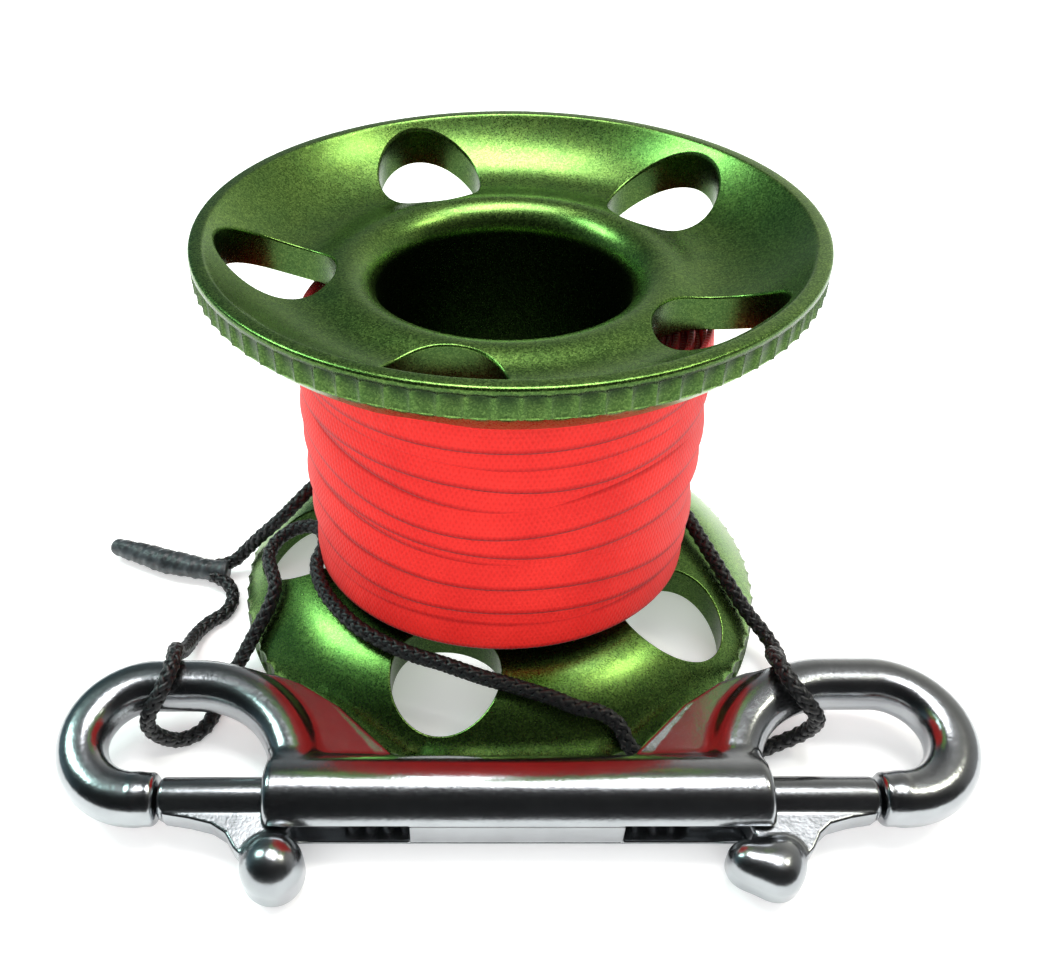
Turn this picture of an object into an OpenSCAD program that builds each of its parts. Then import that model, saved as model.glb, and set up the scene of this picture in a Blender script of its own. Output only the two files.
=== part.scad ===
// Finger spool of fishing line with a double-ended bolt snap on a cord loop.
// The spool stands on one rim: its axis is Z, z = 0 is the standing plane.
// The snap lies in front (-Y) along X and leans on the lower rim.

/* [Spool] */
// Outside diameter of both flange rims
spool_diameter = 75; // [60:0.5:100]
// Height from rim face to rim face
spool_height = 60; // [45:0.5:80]
// Diameter of the finger bore
bore_diameter = 31.6; // [20:0.1:34]
// Radius of the rounded mouth of the bore
mouth_radius = 4; // [2:0.1:5]
// Outside diameter of the core under the line
core_diameter = 39; // [36:0.1:44]
// Depth of the dish ring below the rim
dish_depth = 6.5; // [3:0.1:8]
// Radius of the deepest ring of the dish
dish_radius = 24.5; // [22:0.1:28]

/* [Rim] */
// Height of the rim band
rim_height = 3.82; // [2.5:0.01:6]
// Width of the flat top of the rim
rim_width = 1.7; // [1:0.05:4]
// Number of finger flutes round each rim
flute_count = 90; // [0:1:120]
// Depth of a flute
flute_depth = 0.42; // [0.1:0.01:0.8]

/* [Flange holes] */
// Holes in each flange
hole_count = 5; // [3:1:8]
// Diameter of a hole
hole_diameter = 14.2; // [6:0.1:15]
// Diameter of the circle the hole centres lie on
hole_circle = 55.4; // [48:0.1:60]
// Angle of the first hole from +X
hole_start = 38; // [0:1:71]

/* [Line] */
// Outside diameter of the wound line
winding_diameter = 52.2; // [41:0.1:66]
// Lowest height the line reaches
winding_bottom = 14.2; // [11:0.1:30]
// Highest height the line reaches
winding_top = 48.7; // [30:0.1:48.8]

/* [Snap] */
// Radius of the barrel
barrel_radius = 5.05; // [4:0.05:6]
// Half length of the barrel
barrel_half = 29.7; // [24:0.1:34]
// Radius of the rod that the eyes are bent from
eye_rod = 3.1; // [2:0.05:4]
// Half thickness of the flat webs
web_half = 1.9; // [1:0.05:2.5]
// Radius of the sliding bolts
bolt_radius = 2.6; // [2:0.05:3]
// Radial clearance of a bolt in its bore
bolt_clearance = 0.08; // [0.02:0.01:0.1]
// Lean of the snap on the rim, in degrees
snap_tilt = 8; // [0:0.5:12]

/* [Springs] */
// Wire diameter
spring_wire = 0.5; // [0.3:0.05:0.8]
// Mean coil radius
spring_radius = 2.15; // [1.5:0.05:2.3]
// Turns
spring_turns = 8; // [5:1:12]

/* [Cord] */
// Cord diameter
cord_diameter = 2; // [1.5:0.1:2.1]
// Radius of the heat-shrink sleeve
sleeve_radius = 1.95; // [1.8:0.05:2.4]

/* [Hidden] */
$fn = 64;
spool_radius = spool_diameter / 2;
bore_radius = bore_diameter / 2;
core_radius = core_diameter / 2;
crest_radius = bore_radius + mouth_radius;
crest_drop = dish_depth - 0.7;
bore_drop = crest_drop + mouth_radius;
bead_in = spool_radius - rim_width;
inner_out = spool_radius - 0.4;
inner_flat = rim_height + 7.08;
flute_from = 0.9;
flute_to = rim_height - 0.45;
snap_x = 0.6;
snap_y = -42.6;
snap_z = 5.5;
slot_from = 12.5;
bore_from = 2.5;
bolt_in = 20.2;
bolt_out = 42.4;
hook_tip = 42.7;
knob_v = -8.6;

// Cord route, strand by strand, centre of the cord in mm.
// From the sleeve up over the left of the lower rim.
route_rise = [[-43.5, 2.6, 2.1], [-40.6, 3.2, 2.5], [-38.4, 4.1, 4.2], [-36.4, 4.1, 6.4],
  [-34.2, 4.4, 8.4], [-32, 5.2, 10.2], [-29.9, 6.9, 11.6], [-28.2, 9.2, 12.2], [-26.2, 11.5, 12.3]];
// Round the back of the core under the line.
route_back = [for (a = [148:-12:16]) [27 * cos(a), 27 * sin(a), 12.2]];
// Down over the right of the rim, over the right eye and into it.
route_right = [[27.5, 2.2, 12.3], [28.3, -0.7, 12.1], [29.3, -3.4, 11.4], [30.5, -6, 10.4],
  [31.7, -8.5, 9.2], [33.1, -10.7, 7.7], [34.7, -12.4, 5.9], [36.5, -14.2, 4.3], [37.5, -17, 3.8],
  [37.3, -19.8, 4.7], [36.2, -21.7, 6.6], [35.1, -23.1, 9], [34.2, -24.9, 11.3],
  [34.2, -27.6, 12.4], [35.1, -30.4, 12], [36.8, -32.2, 10.4], [38.4, -32.4, 7.9],
  [38.6, -31.5, 5.1], [37.1, -31, 2.6], [34.5, -31.3, 1.3]];
// Under the right web and up over the rim.
route_under = [[31.8, -32.4, 1.1], [29, -33.5, 1.2], [26.1, -34.2, 1.5], [23.1, -34.7, 1.9],
  [20.1, -34.9, 2.2], [17.3, -34.9, 3], [15.2, -34.4, 5], [13.9, -32.9, 7.2], [11.5, -32.1, 8.7]];
// Along the front of the core.
route_front = [[8.6, -31.9, 9.4], [5.8, -31.1, 10.2], [3, -30.4, 10.7], [0.1, -29.6, 11.1],
  [-2.8, -28.9, 11.5], [-5.6, -27.8, 11.7], [-8.4, -26.6, 11.8], [-11.2, -25.6, 11.9],
  [-13.9, -24.4, 12.1], [-16.5, -22.8, 12.2], [-18.9, -21, 12.3], [-20.9, -18.8, 12.3],
  [-22.7, -16.4, 12.3], [-24.2, -13.8, 12.3], [-25.3, -10.9, 12.3], [-25.7, -8, 12.5],
  [-24.9, -5.1, 12.9], [-25.4, -2.2, 12.9]];
// Small bight at the left, then down over the rim.
route_bight = [[-27.4, -0.1, 12.3], [-30.2, 0.2, 11.3], [-32.5, -1.4, 10.4], [-33.3, -4.2, 9.9],
  [-32.5, -7.1, 9.9], [-31.7, -9.8, 9.3], [-32.4, -12.3, 7.9], [-33.8, -14.2, 6], [-35.2, -15.9, 4],
  [-36.6, -17.7, 2.1], [-37.8, -20.3, 1.2], [-38.5, -23.2, 1.1], [-38.9, -26.2, 1.1],
  [-40.2, -28.9, 1.1]];
// Up through the left eye, over its back and home to the sleeve.
route_home = [[-42.6, -30.5, 1.5], [-44.8, -31.2, 3.3], [-45.6, -31.7, 6], [-44.8, -31.9, 8.8],
  [-43.3, -30.7, 11.1], [-42.4, -28.2, 12.4], [-42.4, -25.3, 12.2], [-43, -22.9, 10.5],
  [-43.4, -21.2, 8.1], [-43.7, -19, 6], [-44, -16.7, 4], [-44.1, -14.2, 2.5], [-43.8, -11.4, 1.5],
  [-42.5, -8.7, 1.1], [-40.4, -6.6, 1.1], [-39.7, -3.7, 1.3], [-40.9, -1, 1.7], [-43.4, 0.5, 2]];
cord_route = concat(route_rise, route_back, route_right, route_under, route_front,
  route_bight, route_home);
sleeve_route = [[-60.6, 7.6, 2], [-59, 7.1, 2], [-56, 5.9, 2], [-53, 4.6, 2], [-50, 3.5, 2],
  [-47, 2.6, 2], [-44, 1.9, 2], [-41.6, 1.6, 2.05]];

// ---- flange profile: drop below the rim face against radius ----
function dish(r) = r >= dish_radius
  ? dish_depth * (1 - pow((r - dish_radius) / (bead_in - dish_radius), 2))
  : crest_drop + 0.35 * (1 - cos(180 * (r - crest_radius) / (dish_radius - crest_radius)));
function underside(r) = rim_height
  + (inner_flat - rim_height) * (1 - pow((r - dish_radius) / (inner_out - dish_radius), 2));

half_profile = concat(
  [for (a = [0:15:90]) [crest_radius - mouth_radius * cos(a), bore_drop - mouth_radius * sin(a)]],
  [for (i = [1:6]) let (r = crest_radius + (dish_radius - crest_radius) * i / 6) [r, dish(r)]],
  [for (i = [1:10]) let (r = dish_radius + (bead_in - dish_radius) * i / 10) [r, dish(r)]],
  [[spool_radius - 0.4, 0], [spool_radius - 0.12, 0.12], [spool_radius, 0.4],
   [spool_radius, flute_from], [spool_radius - flute_depth - 0.1, flute_from],
   [spool_radius - flute_depth - 0.1, flute_to], [spool_radius, flute_to],
   [spool_radius, rim_height - 0.4], [spool_radius - 0.4, rim_height]],
  [for (i = [1:10]) let (r = inner_out - (inner_out - dish_radius) * i / 10) [r, underside(r)]],
  [[core_radius, inner_flat]]
);
full_profile = concat(half_profile,
  [for (i = [len(half_profile) - 1:-1:0]) [half_profile[i][0], spool_height - half_profile[i][1]]]);

function fluted(n, r, d) = [for (i = [0:n * 4 - 1]) let (k = i % 4)
  (k == 0 ? r : k == 2 ? r - d : r - d * 0.72) * [cos(90 * i / n), sin(90 * i / n)]];

module fluted_band() {
  linear_extrude(flute_to - flute_from + 0.3)
    difference() {
      polygon(fluted(flute_count, spool_radius - 0.03, flute_depth));
      circle(spool_radius - 1.1);
    }
}

module spool_body() {
  color([0.12, 0.5, 0.3])
  difference() {
    union() {
      rotate_extrude() polygon(full_profile);
      if (flute_count > 0) {
        translate([0, 0, flute_from - 0.15]) fluted_band();
        translate([0, 0, spool_height - flute_to - 0.15]) fluted_band();
      }
    }
    for (i = [0:hole_count - 1]) rotate([0, 0, hole_start + 360 * i / hole_count])
      translate([hole_circle / 2, 0, 0]) {
        translate([0, 0, -1]) cylinder(r = hole_diameter / 2, h = inner_flat + 2);
        translate([0, 0, spool_height - inner_flat - 1])
          cylinder(r = hole_diameter / 2, h = inner_flat + 2);
      }
  }
}

module line_winding() {
  ri = core_radius + 0.05;
  ro = winding_diameter / 2;
  color([0.75, 0.05, 0.08])
  rotate_extrude() polygon(concat(
    [[ri, winding_bottom], [ro - 1.6, winding_bottom]],
    [for (a = [0:30:90]) [ro - 0.2 + 0.6 * cos(a - 90) * 1 - 0.4, winding_bottom + 1.2 + 1.2 * sin(a - 90)]],
    [[ro, winding_bottom + 4], [ro, winding_top - 3]],
    [for (a = [0:30:90]) [ro - 1 + 1 * cos(a), winding_top - 1 + 1 * sin(a)]],
    [[ri, winding_top]]));
}

// ---- swept tubes ----
function unit(v) = v / max(norm(v), 1e-9);
function tangent(p, i) = unit(p[min(i + 1, len(p) - 1)] - p[max(i - 1, 0)]);
function side_on(v, t) = unit(v - (v * t) * t);
function frames(p, start) = [for (i = 0, n = side_on(start, tangent(p, 0)); i < len(p);
  i = i + 1, n = i < len(p) ? side_on(n, tangent(p, i)) : n) n];

module tube(p, radii, sides, start) {
  f = frames(p, start);
  last = len(p) - 1;
  points = [for (i = [0:last]) let (t = tangent(p, i), n = f[i], b = cross(t, n))
    for (k = [0:sides - 1]) p[i] + radii[i] * (cos(360 * k / sides) * n + sin(360 * k / sides) * b)];
  faces = concat(
    [[for (k = [sides - 1:-1:0]) last * sides + k]],
    [[for (k = [0:sides - 1]) k]],
    [for (i = [0:last - 1]) for (k = [0:sides - 1]) let (m = (k + 1) % sides)
      [i * sides + k, (i + 1) * sides + k, (i + 1) * sides + m, i * sides + m]]);
  polyhedron(points = points, faces = faces, convexity = 8);
}

module loop_cord() {
  color([0.06, 0.06, 0.07])
    tube(cord_route, [for (p = cord_route) cord_diameter / 2], 8, [0, 0, 1]);
}

module heat_shrink_sleeve() {
  color([0.1, 0.1, 0.12])
    tube(sleeve_route, [for (i = [0:len(sleeve_route) - 1])
      i == 0 ? sleeve_radius * 0.55 : i == 1 ? sleeve_radius * 0.9 : sleeve_radius], 10, [0, 0, 1]);
}

// ---- double-ended bolt snap, in its own frame: u along the barrel, v towards the spool ----
module place_snap() {
  translate([snap_x, snap_y, snap_z]) rotate([snap_tilt, 0, 0]) children();
}

module rod(x0, x1, y, r) {
  translate([x0, y, 0]) rotate([0, 90, 0]) cylinder(r = r, h = x1 - x0);
}

module bend(cx, cy, r, from, angle) {
  translate([cx, cy, 0]) rotate([0, 0, from]) rotate_extrude(angle = angle)
    translate([r, 0]) circle(r = eye_rod);
}

module eye() {
  rod(-45.5, -hook_tip, 0, eye_rod);
  bend(-45.5, 8, 8, 90, 180);
  rod(-45.5, -40.4, 16, eye_rod);
  bend(-40.4, 2, 14, 0, 90);
  translate([-26.4, 2, 0]) rotate([90, 0, 0]) cylinder(r = eye_rod, h = 2);
  translate([0, 0, -web_half]) linear_extrude(2 * web_half) polygon([[-35.2, 17.5], [-30.2, 17.4],
    [-26.7, 16], [-21.7, 12.7], [-14.2, 5], [-14.2, 0], [-27.2, 0], [-28.2, 8]]);
}

module barrel() {
  rotate([0, 90, 0]) rotate_extrude() polygon([[0, -barrel_half],
    [barrel_radius - 0.6, -barrel_half], [barrel_radius, -barrel_half + 0.6],
    [barrel_radius, barrel_half - 0.6], [barrel_radius - 0.6, barrel_half], [0, barrel_half]]);
}

module gate_bore() {
  rod(-barrel_half - 1, -bore_from, 0, bolt_radius + bolt_clearance);
  translate([-barrel_half - 1, -barrel_radius - 1, -1.8])
    cube([barrel_half + 1 - slot_from, barrel_radius + 1, 3.6]);
}

module snap_body() {
  color([0.78, 0.78, 0.8])
  place_snap() difference() {
    union() {
      barrel();
      eye();
      mirror([1, 0, 0]) eye();
    }
    gate_bore();
    mirror([1, 0, 0]) gate_bore();
  }
}

// Bolt of the left gate; nose is how far the knob is drawn out towards the middle.
module gate_bolt(nose) {
  rod(-bolt_out, -bolt_in, 0, bolt_radius);
  translate([0, 0, -1.5]) linear_extrude(3) polygon([[-26.2, -1], [-41.5, -1], [-41.5, -2.8],
    [-38.4, -3.3], [-35.4, -4], [-33.1, -5.6], [-32.4, -7.1], [-30.7, knob_v], [-27.2, knob_v],
    [-26.2, -6.5]]);
  translate([-28, knob_v, 0]) rotate([0, 90, 0]) rotate_extrude() polygon(concat(
    [for (a = [-90:15:60]) [3.7 * cos(a), 3.7 * sin(a)]],
    [[1.85 - 0.35 * nose, 3.2 + 0.45 * nose], [0, 3.7 + nose]]));
}

module snap_bolt_left() {
  color([0.74, 0.75, 0.78]) place_snap() gate_bolt(0);
}

module snap_bolt_right() {
  color([0.74, 0.75, 0.78]) place_snap() mirror([1, 0, 0]) gate_bolt(2);
}

function coil(x0, x1) = [for (i = [0:spring_turns * 10]) let (a = 36 * i)
  [x0 + (x1 - x0) * i / (spring_turns * 10), spring_radius * cos(a), spring_radius * sin(a)]];

module gate_spring() {
  p = coil(-bolt_in + spring_wire / 2, -bore_from - spring_wire / 2);
  tube(p, [for (q = p) spring_wire / 2], 6, [1, 0, 0]);
}

module spring_left() {
  color([0.6, 0.62, 0.65]) place_snap() gate_spring();
}

module spring_right() {
  color([0.6, 0.62, 0.65]) place_snap() mirror([1, 0, 0]) gate_spring();
}

spool_body();
line_winding();
loop_cord();
heat_shrink_sleeve();
snap_body();
snap_bolt_left();
snap_bolt_right();
spring_left();
spring_right();
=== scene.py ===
"""Finger spool of line with a double-ended bolt snap on a cord loop, as a Blender 4.5 add-on layout.

The builders work in millimetres and new_mesh turns them into metres; node groups and settings are
in metres.
"""

import math

import bmesh
import bpy
import numpy as np
from mathutils import Matrix, Vector


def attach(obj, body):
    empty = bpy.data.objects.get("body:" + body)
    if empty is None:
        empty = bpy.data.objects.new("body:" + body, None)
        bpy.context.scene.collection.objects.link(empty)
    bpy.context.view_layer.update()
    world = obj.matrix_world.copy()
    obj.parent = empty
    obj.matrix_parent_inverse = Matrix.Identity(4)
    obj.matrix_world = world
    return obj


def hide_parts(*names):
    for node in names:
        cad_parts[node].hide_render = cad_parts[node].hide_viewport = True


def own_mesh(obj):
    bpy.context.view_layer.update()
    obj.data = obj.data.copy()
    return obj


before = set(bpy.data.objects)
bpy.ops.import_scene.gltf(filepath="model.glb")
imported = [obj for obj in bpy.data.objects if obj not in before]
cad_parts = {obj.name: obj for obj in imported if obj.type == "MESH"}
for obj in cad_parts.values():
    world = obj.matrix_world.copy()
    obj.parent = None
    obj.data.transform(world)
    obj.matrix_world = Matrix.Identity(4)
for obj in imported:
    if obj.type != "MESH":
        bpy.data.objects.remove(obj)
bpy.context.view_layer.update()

bl_info = {
    "name": "Finger Spool With Bolt Snap",
    "version": (1, 0, 0),
    "blender": (4, 5, 0),
    "location": "View3D > Sidebar > Finger Spool",
    "description": "Builds a finger spool of flat line, its cord loop and a double-ended bolt snap",
    "category": "Object",
}

# All sizes here are in millimetres, all angles in degrees.
MM = 0.001

# Spool: heights are measured from the face of the rim, into the spool.
HEIGHT = 60.0
RIM_RADIUS, RIM_INNER = 37.5, 35.4
SADDLE_RADIUS, DISH_DEPTH, DISH_SPAN = 24.5, 6.5, 11.3
LIP_RADIUS, LIP_RISE, LIP_ROUND = 19.8, 0.7, 4.0
WEB_RADIUS = 20.0
UNDER_EDGE, UNDER_FALL, UNDER_SPAN = 3.82, 7.08, 12.6
CORE_RADIUS, BORE_RADIUS = 19.5, 15.8
HOLES, HOLE_CENTRE, HOLE_RADIUS, HOLE_START = 5, 27.7, 7.1, 38.0
FLUTE_ANGLE = 4.0
LATHE_COLUMNS = 360

# Snap, in its own frame: u along the barrel, v towards the eyes, w across.
TILT = 8.0
SNAP_AT = (0.6, -42.6, 5.5)
BARREL_HALF, BARREL_RADIUS, ROD_RADIUS, BOLT_RADIUS = 29.7, 5.05, 3.15, 2.6
GATE_TRAVEL, SPRING_LENGTH, SPRING_FOOT = 13.0, 17.7, 2.5

# Camera: lens in millimetres, shifts as shares of the frame's width.
CAMERA_LENS, CAMERA_SHIFT = 37.33124283, (0.09050669, -0.00006692)
CAMERA_AT = (-6.238, -121.476, 114.429)
CAMERA_AXES = ((0.99966918, 0.01450189, -0.02124214), (0.00797433, 0.61044065, 0.79202186),
               (0.02445288, -0.79192923, 0.61012306))

# The cord's route, as the CAD solid has it.
CORD_ROUTE = (
    [(-43.5, 2.6, 2.1), (-40.6, 3.2, 2.5), (-38.4, 4.1, 4.2), (-36.4, 4.1, 6.4), (-34.2, 4.4, 8.4),
     (-32, 5.2, 10.2), (-29.9, 6.9, 11.6), (-28.2, 9.2, 12.2), (-26.2, 11.5, 12.3)]
    + [(27 * math.cos(math.radians(a)), 27 * math.sin(math.radians(a)), 12.2)
       for a in range(148, 15, -12)]
    + [(27.5, 2.2, 12.3), (28.3, -0.7, 12.1), (29.3, -3.4, 11.4), (30.5, -6, 10.4), (31.7, -8.5, 9.2),
       (33.1, -10.7, 7.7), (34.7, -12.4, 5.9), (36.5, -14.2, 4.3), (37.5, -17, 3.8),
       (37.3, -19.8, 4.7), (36.2, -21.7, 6.6), (35.1, -23.1, 9), (34.2, -24.9, 11.3),
       (34.2, -27.6, 12.4), (35.1, -30.4, 12), (36.8, -32.2, 10.4), (38.4, -32.4, 7.9),
       (38.6, -31.5, 5.1), (37.1, -31, 2.6), (34.5, -31.3, 1.3)]
    + [(31.8, -32.4, 1.1), (29, -33.5, 1.2), (26.1, -34.2, 1.5), (23.1, -34.7, 1.9),
       (20.1, -34.9, 2.2), (17.3, -34.9, 3), (15.2, -34.4, 5), (13.9, -32.9, 7.2),
       (11.5, -32.1, 8.7)]
    + [(8.6, -31.9, 9.4), (5.8, -31.1, 10.2), (3, -30.4, 10.7), (0.1, -29.6, 11.1),
       (-2.8, -28.9, 11.5), (-5.6, -27.8, 11.7), (-8.4, -26.6, 11.8), (-11.2, -25.6, 11.9),
       (-13.9, -24.4, 12.1), (-16.5, -22.8, 12.2), (-18.9, -21, 12.3), (-20.9, -18.8, 12.3),
       (-22.7, -16.4, 12.3), (-24.2, -13.8, 12.3), (-25.3, -10.9, 12.3), (-25.7, -8, 12.5),
       (-24.9, -5.1, 12.9), (-25.4, -2.2, 12.9)]
    + [(-27.4, -0.1, 12.3), (-30.2, 0.2, 11.3), (-32.5, -1.4, 10.4), (-33.3, -4.2, 9.9),
       (-32.5, -7.1, 9.9), (-31.7, -9.8, 9.3), (-32.4, -12.3, 7.9), (-33.8, -14.2, 6),
       (-35.2, -15.9, 4), (-36.6, -17.7, 2.1), (-37.8, -20.3, 1.2), (-38.5, -23.2, 1.1),
       (-38.9, -26.2, 1.1), (-40.2, -28.9, 1.1)]
    + [(-42.6, -30.5, 1.5), (-44.8, -31.2, 3.3), (-45.6, -31.7, 6), (-44.8, -31.9, 8.8),
       (-43.3, -30.7, 11.1), (-42.4, -28.2, 12.4), (-42.4, -25.3, 12.2), (-43, -22.9, 10.5),
       (-43.4, -21.2, 8.1), (-43.7, -19, 6), (-44, -16.7, 4), (-44.1, -14.2, 2.5),
       (-43.8, -11.4, 1.5), (-42.5, -8.7, 1.1), (-40.4, -6.6, 1.1), (-39.7, -3.7, 1.3),
       (-40.9, -1, 1.7), (-43.4, 0.5, 2)]
)

# Outer turns of the line, from the bottom up: heights at TURN_ANGLES, outer radius and lean.
TURN_ANGLES = (190, 212, 235, 257, 280, 302, 325, 350)
OUTER_TURNS = (
    ((13.9, 15.0, 15.4, 15.8, 15.9, 15.7, 15.2, 14.2), 26.1, -4.0),
    ((17.4, 18.2, 19.2, 20.0, 19.4, 18.6, 17.6, 16.6), 25.7, -9.0),
    ((22.4, 22.0, 21.4, 22.2, 22.3, 21.2, 19.8, 18.0), 26.1, -10.0),
    ((28.2, 27.8, 26.8, 25.9, 26.7, 25.2, 23.2, 21.6), 26.3, -11.0),
    ((32.6, 32.4, 30.8, 29.6, 29.4, 27.4, 26.4, 25.6), 25.8, -9.0),
    ((34.4, 33.4, 32.4, 31.6, 31.0, 31.2, 31.2, 30.6), 26.3, -11.0),
    ((38.6, 37.0, 35.0, 33.6, 34.6, 35.6, 35.8, 35.2), 26.4, -10.0),
    ((42.4, 41.4, 39.6, 37.6, 37.4, 37.0, 38.2, 39.6), 25.9, -9.0),
    ((42.0, 42.2, 42.0, 41.6, 40.6, 40.8, 41.6, 41.8), 26.2, -10.0),
    ((45.6, 44.8, 44.2, 43.6, 43.7, 44.0, 43.4, 43.6), 25.9, -9.0),
    ((46.2, 46.2, 46.4, 46.4, 46.4, 46.4, 46.3, 46.2), 26.2, -6.0),
)


# ---------------------------------------------------------------- meshes

def new_mesh(name, verts_mm, faces, normals=None, smooth=True):
    mesh = bpy.data.meshes.new(name)
    mesh.from_pydata([tuple(v) for v in (np.asarray(verts_mm, float) * MM)], [], faces)
    mesh.validate()
    if smooth:
        mesh.polygons.foreach_set("use_smooth", [True] * len(mesh.polygons))
    if normals is not None:
        mesh.normals_split_custom_set_from_vertices([tuple(n) for n in normals])
    mesh.update()
    return mesh


def new_object(name, mesh):
    obj = bpy.data.objects.new(name, mesh)
    bpy.context.scene.collection.objects.link(obj)
    return obj


def settle(obj, piece, node, body):
    """Name the finished piece, let it ride and stand for its CAD node."""
    obj.name = piece
    obj.data.name = piece
    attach(obj, body)
    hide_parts(node)


def smooth_path(points, per):
    """Catmull-Rom through the points, with per points to each stretch."""
    p = np.asarray(points, float)
    out = []
    for i in range(len(p) - 1):
        a, b, c, d = p[max(i - 1, 0)], p[i], p[i + 1], p[min(i + 2, len(p) - 1)]
        for k in range(per):
            t = k / per
            out.append(0.5 * (2 * b + (c - a) * t + (2 * a - 5 * b + 4 * c - d) * t * t
                              + (3 * b - a - 3 * c + d) * t ** 3))
    out.append(p[-1])
    return np.array(out)


def even_path(points, step):
    """The same line with points an even step apart, and its length."""
    p = np.asarray(points, float)
    s = np.concatenate([[0], np.cumsum(np.linalg.norm(np.diff(p, axis=0), axis=1))])
    n = max(2, int(round(s[-1] / step)) + 1)
    t = np.linspace(0, s[-1], n)
    return np.stack([np.interp(t, s, p[:, k]) for k in range(3)], 1), s[-1]


def outward_faces(mesh):
    work = bmesh.new()
    work.from_mesh(mesh)
    bmesh.ops.recalc_face_normals(work, faces=work.faces)
    work.to_mesh(mesh)
    work.free()


def curve_object(name, points_mm, tilts=None):
    curve = bpy.data.curves.new(name, "CURVE")
    curve.dimensions = "3D"
    curve.twist_mode = "MINIMUM"
    spline = curve.splines.new("POLY")
    spline.points.add(len(points_mm) - 1)
    for i, p in enumerate(points_mm):
        spline.points[i].co = (p[0] * MM, p[1] * MM, p[2] * MM, 1.0)
        if tilts is not None:
            spline.points[i].tilt = tilts[i]
    return new_object(name, curve)


def bake(obj, name):
    """The object with its Geometry Nodes applied, as a plain mesh object; the old one goes."""
    bpy.context.view_layer.update()
    graph = bpy.context.evaluated_depsgraph_get()
    mesh = bpy.data.meshes.new_from_object(obj.evaluated_get(graph), depsgraph=graph)
    made = new_object(name, mesh)
    data = obj.data
    bpy.data.objects.remove(obj)
    if data.users == 0:
        (bpy.data.curves if isinstance(data, bpy.types.Curve) else bpy.data.meshes).remove(data)
    return made


def surface_net(field, low, high, step):
    """Mesh of field = 0 inside a box: one vertex per crossed cell, pulled onto the surface."""
    axes = [np.arange(low[k], high[k] + step, step) for k in range(3)]
    shape = tuple(len(a) for a in axes)
    values = np.empty(shape)
    yy, zz = np.meshgrid(axes[1], axes[2], indexing="ij")
    for i, x in enumerate(axes[0]):
        pts = np.stack([np.full(yy.size, x), yy.ravel(), zz.ravel()], 1)
        values[i] = field(pts).reshape(yy.shape)
    inside = values < 0
    cells = tuple(n - 1 for n in shape)
    total, count = np.zeros(cells + (3,)), np.zeros(cells)
    corner = [(a, b, c) for a in (0, 1) for b in (0, 1) for c in (0, 1)]

    def part(array, o):
        return array[o[0]:o[0] + cells[0], o[1]:o[1] + cells[1], o[2]:o[2] + cells[2]]

    for a in corner:
        for k in range(3):
            if a[k]:
                continue
            b = tuple(1 if m == k else a[m] for m in range(3))
            va, vb = part(values, a), part(values, b)
            cross = part(inside, a) != part(inside, b)
            t = np.where(cross, va / np.where(cross, va - vb, 1.0), 0.0)
            for m in range(3):
                total[..., m] += np.where(cross, a[m] + (t if m == k else 0.0), 0.0)
            count += cross
    used = count > 0
    index = -np.ones(cells, int)
    index[used] = np.arange(used.sum())
    where = np.argwhere(used)
    verts = np.array(low) + (where + total[used] / count[used][:, None]) * step
    faces = []
    for k in range(3):
        m, n = (k + 1) % 3, (k + 2) % 3
        first = [slice(1, c) for c in cells]
        first[k] = slice(0, cells[k])
        nxt = list(first)
        nxt[k] = slice(1, cells[k] + 1)
        va, vb = inside[tuple(first)], inside[tuple(nxt)]
        for flip, mask in ((False, va & ~vb), (True, ~va & vb)):
            at = np.argwhere(mask)
            at[:, m] += 1
            at[:, n] += 1
            quad = []
            for dm, dn in ((-1, -1), (0, -1), (0, 0), (-1, 0)):
                q = at.copy()
                q[:, m] += dm
                q[:, n] += dn
                quad.append(index[q[:, 0], q[:, 1], q[:, 2]])
            faces.append(np.stack(quad[::-1] if flip else quad, 1))
    faces = np.concatenate(faces)
    verts = verts.astype(float)

    def gradient(p, e=0.03):
        return np.stack([(field(p + e * np.eye(3)[k]) - field(p - e * np.eye(3)[k])) / (2 * e)
                         for k in range(3)], 1)

    for _ in range(3):
        g = gradient(verts)
        move = -field(verts)[:, None] * g / np.maximum((g * g).sum(1), 0.2)[:, None]
        length = np.linalg.norm(move, axis=1)
        verts += move * np.minimum(1.0, 0.3 * step / np.maximum(length, 1e-9))[:, None]
    g = gradient(verts, 0.06)
    return verts, faces.tolist(), g / np.maximum(np.linalg.norm(g, axis=1), 1e-9)[:, None]


# ---------------------------------------------------------------- node helpers

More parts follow.
